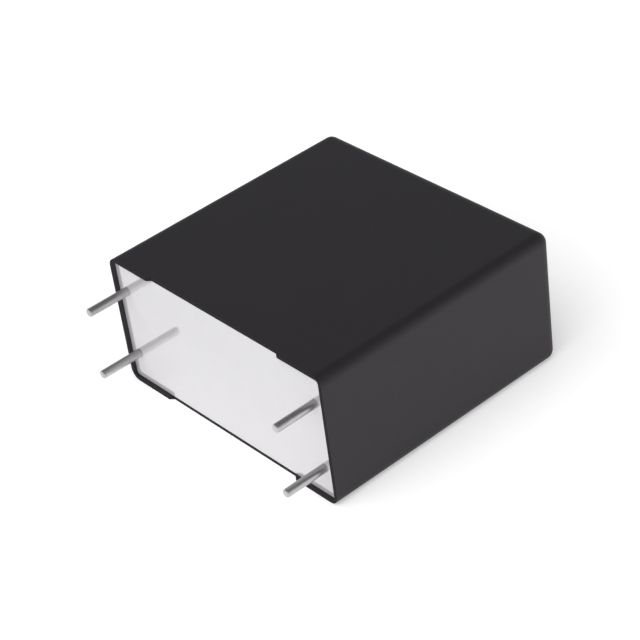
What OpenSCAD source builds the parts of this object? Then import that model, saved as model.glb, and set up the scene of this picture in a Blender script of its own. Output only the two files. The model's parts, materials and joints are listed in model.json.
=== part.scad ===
// Box film capacitor with four leads.
//
// A thin moulded case, open on one side, is filled with epoxy resin round a flattened
// film winding. Each end of the winding is sprayed with zinc, and two straight leads are
// soldered to each sprayed end and stand out of the resin.
//
// The part lies on a broad side, in millimetres: X runs along the case, +Y from the open
// side to the closed end, and Z through the thickness. The origin is the centre of the
// lead pattern, on the seating plane that the feet touch.

/* [Leads] */
// Distance between the leads at the two ends of the winding
lead_pitch = 37.5; // [27.5:2.5:52.5]
// Distance between the two leads of one end
lead_row_spacing = 10.2; // [8:0.1:12]
// Diameter of the lead wire
lead_diameter = 1.2; // [0.8:0.1:1.5]
// Length of a lead beyond the seating plane
lead_length = 6; // [3:0.5:25]
// Chamfer left round the cut tip of a lead
lead_tip_chamfer = 0.1; // [0.05:0.05:0.3]
// Length of a lead inside the case, from the seating plane
lead_reach = 24; // [22:0.5:27]

/* [Case] */
// Distance from the axis of a lead to the end of the case
end_margin = 2.25; // [2.2:0.05:5]
// Height of the case from the seating plane to the closed end
case_height = 40; // [32:0.5:60]
// Thickness of the case
case_thickness = 20; // [18:0.5:30]
// Wall of the case
wall = 0.55; // [0.4:0.05:0.8]
// Radius of the outer edges
edge_radius = 1.5; // [1:0.1:2.5]
// Wall left at the corners of the closed end, where sharper inner edges meet the outer ones
corner_wall = 0.2; // [0.15:0.05:0.4]
// Smallest radius of the inner edges
inner_radius = 0.2; // [0.1:0.05:0.5]

/* [Seating feet] */
// Height of the feet above the resin
foot_height = 0.5; // [0.2:0.1:1.5]
// Length of a foot along the broad side, from the end of the case
foot_length = 8; // [4:0.5:12]
// Length of the slope at the inner end of a foot
foot_ramp = 0.6; // [0.2:0.1:2]

/* [Winding] */
// Resin over the winding at the open side
open_cover = 2.2; // [1:0.1:4]
// Resin between the winding and the closed end
closed_cover = 0.8; // [0.4:0.1:3]
// Resin between the winding and each broad wall
side_cover = 0.8; // [0.4:0.1:2]
// Thickness of the zinc sprayed on each end of the winding
spray_thickness = 0.5; // [0.3:0.05:1]
// Depth to which a lead is pressed into the sprayed zinc
lead_sink = 0.1; // [0.05:0.01:0.2]

/* [Solder joints] */
// Radius of a solder joint where it meets the sprayed zinc
solder_radius = 2.6; // [2:0.1:3.2]
// Solder over the top of a lead
solder_cover = 0.3; // [0.15:0.05:0.4]
// Distance from the seating plane to the middle of a solder joint
solder_reach = 16; // [12:0.5:18]

/* [Hidden] */

$fn = 96;
// How far a cutting shape runs past the face that it opens
overrun = 1;
// The two ends and the two rows of the lead pattern: name and side
ENDS = [["left", -1], ["right", 1]];
ROWS = [["lower", -1], ["upper", 1]];

case_length = lead_pitch + 2 * end_margin;
cavity_length = case_length - 2 * wall;
cavity_thickness = case_thickness - 2 * wall;
cavity_top = case_height - wall;
// The inner edges are as sharp as corner_wall allows, rounded up to a whole size_step
size_step = 0.01;
sharpest = (sqrt(3) * (edge_radius - wall) - edge_radius + corner_wall) / (sqrt(3) - 1);
cavity_radius = max(inner_radius, ceil(sharpest / size_step) * size_step);

winding_thickness = cavity_thickness - 2 * side_cover;
winding_bottom = foot_height + open_cover;
winding_top = cavity_top - closed_cover;
// Distance from the middle of the part to the outer face of a sprayed end
spray_face = lead_pitch / 2 - lead_diameter / 2 + lead_sink;
winding_length = 2 * (spray_face - spray_thickness);

// A solder joint is the cap of a sphere that stands on the sprayed end
solder_height = lead_diameter - lead_sink + solder_cover;
solder_sphere_radius = (pow(solder_radius, 2) + pow(solder_height, 2)) / (2 * solder_height);

// Extrudes a shape drawn in X and Z along Y, from low to high.
module along_y(low, high) {
    translate([0, high, 0]) rotate([90, 0, 0]) linear_extrude(high - low) children();
}

// Extrudes a shape drawn in Y and Z along X, from low to high.
module along_x(low, high) {
    translate([low, 0, 0]) rotate([90, 0, 90]) linear_extrude(high - low) children();
}

module rounded_rectangle(length, width, radius) {
    square([length - 2 * radius, width], center = true);
    square([length, width - 2 * radius], center = true);
    for (x = [-1, 1], y = [-1, 1])
        translate([x * (length / 2 - radius), y * (width / 2 - radius)]) circle(radius);
}

// A block from low to high in Y, flat at low, with its other eight edges rounded.
module rounded_block(length, thickness, low, high, radius) {
    x = length / 2 - radius;
    z = thickness / 2 - radius;
    shoulder = high - radius;
    along_y(low, shoulder) rounded_rectangle(length, thickness, radius);
    along_y(low, high) square([2 * x, 2 * z], center = true);
    for (side = [-1, 1]) {
        translate([side * x, shoulder, -z]) cylinder(h = 2 * z, r = radius);
        translate([-x, shoulder, side * z]) rotate([0, 90, 0]) cylinder(h = 2 * x, r = radius);
        for (row = [-1, 1]) translate([side * x, shoulder, row * z]) sphere(radius);
    }
}

// What the case holds, from the given level up to the closed end.
module cavity(level) {
    rounded_block(cavity_length, cavity_thickness, level, cavity_top, cavity_radius);
}

// The gap cut into both long rims between the feet, with a slope at each foot.
module foot_gap() {
    outer = case_length / 2 - foot_length;
    inner = outer - foot_ramp;
    half = [[inner, foot_height], [outer, 0], [outer, -overrun]];
    outline = concat([for (i = [2 : -1 : 0]) [-half[i][0], half[i][1]]], half);
    translate([0, 0, -case_thickness / 2 - overrun])
        linear_extrude(case_thickness + 2 * overrun) polygon(outline);
}

module case_shell() {
    color([0.2, 0.19, 0.2]) difference() {
        rounded_block(case_length, case_thickness, 0, case_height, edge_radius);
        cavity(-overrun);
        foot_gap();
    }
}

// The flattened outline of the winding: straight sides with a half circle at each end.
module winding_outline() {
    radius = winding_thickness / 2;
    for (y = [winding_bottom + radius, winding_top - radius]) translate([y, 0]) circle(radius);
    translate([winding_bottom + radius, -radius])
        square([winding_top - winding_bottom - 2 * radius, winding_thickness]);
}

module film_winding() {
    color([0.78, 0.79, 0.8]) along_x(-winding_length / 2, winding_length / 2) winding_outline();
}

// Draws a piece made for the left end, or its mirror image for the right end.
module at_end(end) {
    if (end > 0) mirror([1, 0, 0]) children();
    else children();
}

// What stands at one end of the winding is drawn at the left end, by row. The side of a lead is
// split at the seating plane, so the free end that a board takes is a face of its own.
module lead_form(row) {
    length = lead_length + lead_reach;
    radius = lead_diameter / 2;
    tip = radius - lead_tip_chamfer;
    translate([-lead_pitch / 2, -lead_length, row * lead_row_spacing / 2])
        rotate([-90, 0, 0])
            rotate_extrude()
                polygon([[0, 0], [tip, 0], [radius, lead_tip_chamfer], [radius, lead_length],
                         [radius, length], [0, length]]);
}

module solder_sphere(row) {
    centre = spray_face + solder_height - solder_sphere_radius;
    translate([-centre, solder_reach, row * lead_row_spacing / 2]) sphere(solder_sphere_radius);
}

module lead(end, row) {
    color([0.72, 0.72, 0.73]) at_end(end) lead_form(row);
}

module end_spray(end) {
    color([0.6, 0.62, 0.64]) at_end(end) difference() {
        along_x(-spray_face, -winding_length / 2) winding_outline();
        for (row = ROWS) lead_form(row[1]);
    }
}

module solder_joint(end, row) {
    reach = solder_radius + overrun;
    color([0.8, 0.8, 0.82]) at_end(end) difference() {
        intersection() {
            solder_sphere(row);
            translate([-spray_face - reach, solder_reach - reach, row * lead_row_spacing / 2 - reach])
                cube([reach, 2 * reach, 2 * reach]);
        }
        lead_form(row);
    }
}

module potting() {
    color([0.9, 0.89, 0.9]) difference() {
        cavity(foot_height);
        along_x(-spray_face, spray_face) winding_outline();
        for (end = ENDS, row = ROWS) at_end(end[1]) {
            lead_form(row[1]);
            solder_sphere(row[1]);
        }
    }
}

case_shell();  // case
potting();
film_winding();
for (end = ENDS) {
    end_spray(end[1]);
    for (row = ROWS) {
        lead(end[1], row[1]);
        solder_joint(end[1], row[1]);
    }
}
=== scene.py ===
"""Finish, floor, light and camera for the box film capacitor, set round its CAD frame. Metres."""

import json
import math

import bpy
from mathutils import Matrix, Vector


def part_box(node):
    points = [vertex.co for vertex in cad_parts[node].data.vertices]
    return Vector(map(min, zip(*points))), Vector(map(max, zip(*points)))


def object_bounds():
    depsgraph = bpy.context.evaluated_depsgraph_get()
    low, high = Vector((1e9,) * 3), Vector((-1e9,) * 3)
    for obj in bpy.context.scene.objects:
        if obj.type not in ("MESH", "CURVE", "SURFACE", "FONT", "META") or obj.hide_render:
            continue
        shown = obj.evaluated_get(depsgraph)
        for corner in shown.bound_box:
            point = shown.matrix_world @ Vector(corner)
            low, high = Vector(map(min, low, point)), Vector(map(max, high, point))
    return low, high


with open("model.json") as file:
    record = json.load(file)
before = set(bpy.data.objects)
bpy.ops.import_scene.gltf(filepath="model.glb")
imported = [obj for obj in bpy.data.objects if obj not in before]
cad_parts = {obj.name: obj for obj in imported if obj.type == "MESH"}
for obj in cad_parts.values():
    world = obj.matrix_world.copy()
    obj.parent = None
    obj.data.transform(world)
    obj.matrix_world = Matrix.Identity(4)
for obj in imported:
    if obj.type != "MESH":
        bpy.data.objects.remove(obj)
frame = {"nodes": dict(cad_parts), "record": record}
CAD_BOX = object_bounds()
NODES = frame["nodes"]
MM = 0.001

# Camera: an azimuth of 0 looks along +Y, and the aim is a point near the middle of the case. The lens
# and the sensor are in millimetres.
CAMERA_AZIMUTH = math.radians(52.75)
CAMERA_ELEVATION = math.radians(35.34)
CAMERA_ROLL = math.radians(-8.14)
CAMERA_DISTANCE = 276.2 * MM
CAMERA_LENS = 117.1
CAMERA_SENSOR = 36.0
CAMERA_CLIP = (0.01, 50.0)
AIM_OFF_CASE_CENTRE = Vector((-0.64, -2.25, -1.2)) * MM

# A noise stays near the middle of 0 to 1, so this part of it is spread over the range it drives.
NOISE_LOW, NOISE_HIGH = 0.3, 0.7

# The faces of the case that look along -Y are its rim, which is more matt than the rest.
RIM_FACING = -0.5
RIM_ROUGHNESS = 1.0

# Studio: a floor that shows as white, a world that is pale at the horizon and dimmer at the ceiling,
# a plain white backdrop that the camera sees in its place, and one broad lamp. HORIZON_TOP and
# CEILING_BOTTOM are heights of a direction, from 0 for level to 1 for straight up.
WHITE = (1.0, 1.0, 1.0, 1.0)
FLOOR_RADIUS = 4.0
FLOOR_SIDES = 96
FLOOR_GAP = 0.02 * MM
FLOOR_COLOR = (0.78, 0.778, 0.78)
FLOOR_GLOW = 0.34
HORIZON_LEVEL = 0.93
CEILING_LEVEL = 0.20
HORIZON_TOP = 0.18
CEILING_BOTTOM = 0.54
BACKDROP_LEVEL = 1.0
LAMP_AZIMUTH = math.radians(10)
LAMP_ELEVATION = math.radians(55)
LAMP_LEVEL = 0.85
LAMP_SPREAD = math.radians(70)


def from_angles(azimuth, elevation):
    """The direction towards a viewer or lamp at these angles."""
    flat = math.cos(elevation)
    return Vector((math.sin(azimuth) * flat, -math.cos(azimuth) * flat, math.sin(elevation)))


def looking_along(direction, roll=0.0):
    """The rotation of a camera or lamp that looks along a direction."""
    return direction.to_track_quat("-Z", "Y").to_matrix().to_4x4() @ Matrix.Rotation(roll, 4, "Z")


# Node trees


def node_tools(tree):
    """Functions that add and link nodes in a tree. An input is given a value or another output."""
    def add(kind, inputs=None, **settings):
        node = tree.nodes.new(kind)
        for key, value in settings.items():
            setattr(node, key, value)
        for key, value in (inputs or {}).items():
            if isinstance(value, bpy.types.NodeSocket):
                tree.links.new(value, node.inputs[key])
            else:
                node.inputs[key].default_value = value
        return node

    def link(output, socket):
        tree.links.new(output, socket)

    return add, link


def new_material(name):
    """A material, its Principled shader, and functions that add and link nodes in it."""
    material = bpy.data.materials.new(name)
    material.use_nodes = True
    tree = material.node_tree
    return material, tree.nodes["Principled BSDF"], *node_tools(tree)


def noise(add, vector, size, detail=2.0, stretch=(1, 1, 1)):
    """A noise whose lumps are about size metres across, drawn out by stretch along each axis."""
    scaled = add("ShaderNodeMapping", {"Vector": vector, "Scale": [1 / s for s in stretch]}).outputs[0]
    texture = add("ShaderNodeTexNoise", {"Vector": scaled, "Scale": 1 / size, "Detail": detail})
    return texture.outputs["Fac"]


def ranged(add, value, low, high):
    """Maps a noise to the range low to high."""
    return add("ShaderNodeMapRange", {"Value": value, "From Min": NOISE_LOW, "From Max": NOISE_HIGH,
                                      "To Min": low, "To Max": high}).outputs[0]


def shaded(add, color, factor):
    """A colour times a factor that varies over the surface."""
    mix = {"Factor": 1.0, "A": (*color, 1.0), "B": factor}
    return add("ShaderNodeMix", mix, data_type="RGBA", blend_type="MULTIPLY").outputs["Result"]


def bumped(add, height, strength, distance):
    """The normal of a surface that a noise raises by up to a distance in metres."""
    bump = add("ShaderNodeBump", {"Height": height, "Strength": strength, "Distance": distance})
    return bump.outputs[0]


def case_plastic():
    """Black moulded plastic with the fine grain of a spark-eroded mould, and a more matt rim."""
    material, shader, add, link = new_material("case_plastic")
    coordinates = add("ShaderNodeTexCoord").outputs
    place = coordinates["Object"]
    cloud = noise(add, place, size=6 * MM)
    grain = noise(add, place, size=0.11 * MM, detail=3.0)
    tone = ranged(add, cloud, low=0.97, high=1.03)
    link(shaded(add, color=(0.0115, 0.0101, 0.0123), factor=tone), shader.inputs["Base Color"])
    facing = add("ShaderNodeSeparateXYZ", {"Vector": coordinates["Normal"]}).outputs["Y"]
    rim = add("ShaderNodeMath", {0: facing, 1: RIM_FACING}, operation="LESS_THAN").outputs[0]
    matt = ranged(add, grain, low=0.56, high=0.64)
    roughness = add("ShaderNodeMix", {"Factor": rim, "A": matt, "B": RIM_ROUGHNESS})
    link(roughness.outputs["Result"], shader.inputs["Roughness"])
    link(bumped(add, grain, strength=0.15, distance=0.004 * MM), shader.inputs["Normal"])
    shader.inputs["Specular IOR Level"].default_value = 0.52
    shader.inputs["Specular Tint"].default_value = (0.98, 0.93, 1.0, 1.0)
    return material


def epoxy():
    """White cast resin with a mirror skin that lies very slightly uneven."""
    material, shader, add, link = new_material("epoxy")
    place = add("ShaderNodeTexCoord").outputs["Object"]
    cloud = noise(add, place, size=3 * MM)
    swell = noise(add, place, size=9 * MM, detail=0.0)
    tone = ranged(add, cloud, low=0.99, high=1.01)
    link(shaded(add, color=(0.545, 0.530, 0.550), factor=tone), shader.inputs["Base Color"])
    link(bumped(add, swell, strength=0.3, distance=0.02 * MM), shader.inputs["Normal"])
    shader.inputs["Roughness"].default_value = 0.06
    shader.inputs["IOR"].default_value = 3.3
    return material


def tinned_wire():
    """Tinned copper wire with faint drawing lines along it."""
    material, shader, add, link = new_material("tinned_wire")
    place = add("ShaderNodeTexCoord").outputs["Object"]
    lines = noise(add, place, size=0.05 * MM, stretch=(1, 60, 1))
    cloud = noise(add, place, size=0.8 * MM)
    tone = ranged(add, cloud, low=0.93, high=1.05)
    link(shaded(add, color=(0.54, 0.53, 0.54), factor=tone), shader.inputs["Base Color"])
    link(ranged(add, lines, low=0.32, high=0.44), shader.inputs["Roughness"])
    link(bumped(add, lines, strength=0.25, distance=0.004 * MM), shader.inputs["Normal"])
    shader.inputs["Metallic"].default_value = 1.0
    return material


def metallised_film():
    """The side of the wound film: clear film over bright metal, with the edges of the turns."""
    material, shader, add, link = new_material("metallised_film")
    place = add("ShaderNodeTexCoord").outputs["Object"]
    turns = noise(add, place, size=0.2 * MM, stretch=(80, 1, 1))
    tone = ranged(add, turns, low=0.92, high=1.04)
    link(shaded(add, color=(0.62, 0.63, 0.65), factor=tone), shader.inputs["Base Color"])
    link(ranged(add, turns, low=0.18, high=0.30), shader.inputs["Roughness"])
    shader.inputs["Metallic"].default_value = 0.8
    return material


def sprayed_zinc():
    """The sprayed end layer: dull, and rough with frozen droplets."""
    material, shader, add, link = new_material("sprayed_zinc")
    place = add("ShaderNodeTexCoord").outputs["Object"]
    drops = noise(add, place, size=0.25 * MM, detail=4.0)
    tone = ranged(add, drops, low=0.80, high=1.10)
    link(shaded(add, color=(0.42, 0.42, 0.43), factor=tone), shader.inputs["Base Color"])
    link(ranged(add, drops, low=0.55, high=0.75), shader.inputs["Roughness"])
    link(bumped(add, drops, strength=0.6, distance=0.05 * MM), shader.inputs["Normal"])
    shader.inputs["Metallic"].default_value = 0.9
    return material


def solder():
    """A solder joint: bright, with a faint frosting."""
    material, shader, add, link = new_material("solder")
    place = add("ShaderNodeTexCoord").outputs["Object"]
    frost = noise(add, place, size=0.4 * MM, detail=3.0)
    tone = ranged(add, frost, low=0.93, high=1.04)
    link(shaded(add, color=(0.66, 0.66, 0.67), factor=tone), shader.inputs["Base Color"])
    link(ranged(add, frost, low=0.22, high=0.40), shader.inputs["Roughness"])
    shader.inputs["Metallic"].default_value = 1.0
    return material


def finish_nodes():
    """Gives every CAD node the material of its slot in the record."""
    slots = {"case_plastic": case_plastic(), "epoxy": epoxy(), "tinned_wire": tinned_wire(),
             "film": metallised_film(), "sprayed_zinc": sprayed_zinc(), "solder": solder()}
    for part in frame["record"]["subparts"]:
        mesh = NODES[part["node"]].data
        mesh.materials.clear()
        mesh.materials.append(slots[part["material_slot"]])


# Studio


def seen_directly(add):
    """1 for a ray from the camera, or one that glass or a glossy surface sends on, and 0 for others."""
    def larger(first, second):
        return add("ShaderNodeMath", {0: first, 1: second}, operation="MAXIMUM").outputs[0]

    ray = add("ShaderNodeLightPath").outputs
    return larger(larger(ray["Is Camera Ray"], ray["Is Glossy Ray"]), ray["Is Transmission Ray"])


def make_floor():
    """A matt floor, which glows to the eye and in reflections, so that it shows as white."""
    low, high = CAD_BOX
    bpy.ops.mesh.primitive_circle_add(vertices=FLOOR_SIDES, radius=FLOOR_RADIUS, fill_type="NGON")
    floor = bpy.context.object
    floor.name = "floor"
    floor.location = ((low[0] + high[0]) / 2, (low[1] + high[1]) / 2, low[2] - FLOOR_GAP)
    material, shader, add, link = new_material("floor")
    shader.inputs["Base Color"].default_value = (*FLOOR_COLOR, 1.0)
    shader.inputs["Roughness"].default_value = 1.0
    shader.inputs["Specular IOR Level"].default_value = 0.0
    shader.inputs["Emission Color"].default_value = WHITE
    glow = add("ShaderNodeMath", {0: seen_directly(add), 1: FLOOR_GLOW}, operation="MULTIPLY")
    link(glow.outputs[0], shader.inputs["Emission Strength"])
    floor.data.materials.append(material)


def make_world():
    """A pale horizon under a dimmer ceiling. The camera sees plain white all round."""
    world = bpy.data.worlds.new("studio")
    bpy.context.scene.world = world
    world.use_nodes = True
    background = world.node_tree.nodes["Background"]
    add, link = node_tools(world.node_tree)

    place = add("ShaderNodeTexCoord").outputs["Generated"]
    height = add("ShaderNodeSeparateXYZ", {"Vector": place}).outputs["Z"]
    fade = {"Value": height, "From Min": HORIZON_TOP, "From Max": CEILING_BOTTOM,
            "To Min": HORIZON_LEVEL, "To Max": CEILING_LEVEL}
    level = add("ShaderNodeMapRange", fade, interpolation_type="SMOOTHSTEP").outputs[0]

    seen = add("ShaderNodeLightPath").outputs["Is Camera Ray"]
    strength = add("ShaderNodeMix", {"Factor": seen, "A": level, "B": BACKDROP_LEVEL})
    link(strength.outputs["Result"], background.inputs["Strength"])
    background.inputs["Color"].default_value = WHITE


def make_lamp():
    """One broad lamp, as soft as a large softbox. Glossy surfaces mirror the world, not it."""
    data = bpy.data.lights.new("softbox", "SUN")
    data.energy = LAMP_LEVEL * math.pi
    data.angle = LAMP_SPREAD
    lamp = bpy.data.objects.new("softbox", data)
    bpy.context.collection.objects.link(lamp)
    lamp.visible_glossy = False
    lamp.matrix_world = looking_along(-from_angles(LAMP_AZIMUTH, LAMP_ELEVATION))


def make_camera():
    low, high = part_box("case")
    aim = (low + high) / 2 + AIM_OFF_CASE_CENTRE
    away = from_angles(CAMERA_AZIMUTH, CAMERA_ELEVATION)
    data = bpy.data.cameras.new("camera")
    data.lens = CAMERA_LENS
    data.sensor_width = CAMERA_SENSOR
    data.clip_start, data.clip_end = CAMERA_CLIP
    camera = bpy.data.objects.new("camera", data)
    bpy.context.collection.objects.link(camera)
    camera.matrix_world = (Matrix.Translation(aim + away * CAMERA_DISTANCE)
                           @ looking_along(-away, CAMERA_ROLL))
    bpy.context.scene.camera = camera


make_camera()
finish_nodes()
make_floor()
make_world()
make_lamp()
bpy.context.scene.view_settings.view_transform = "Standard"
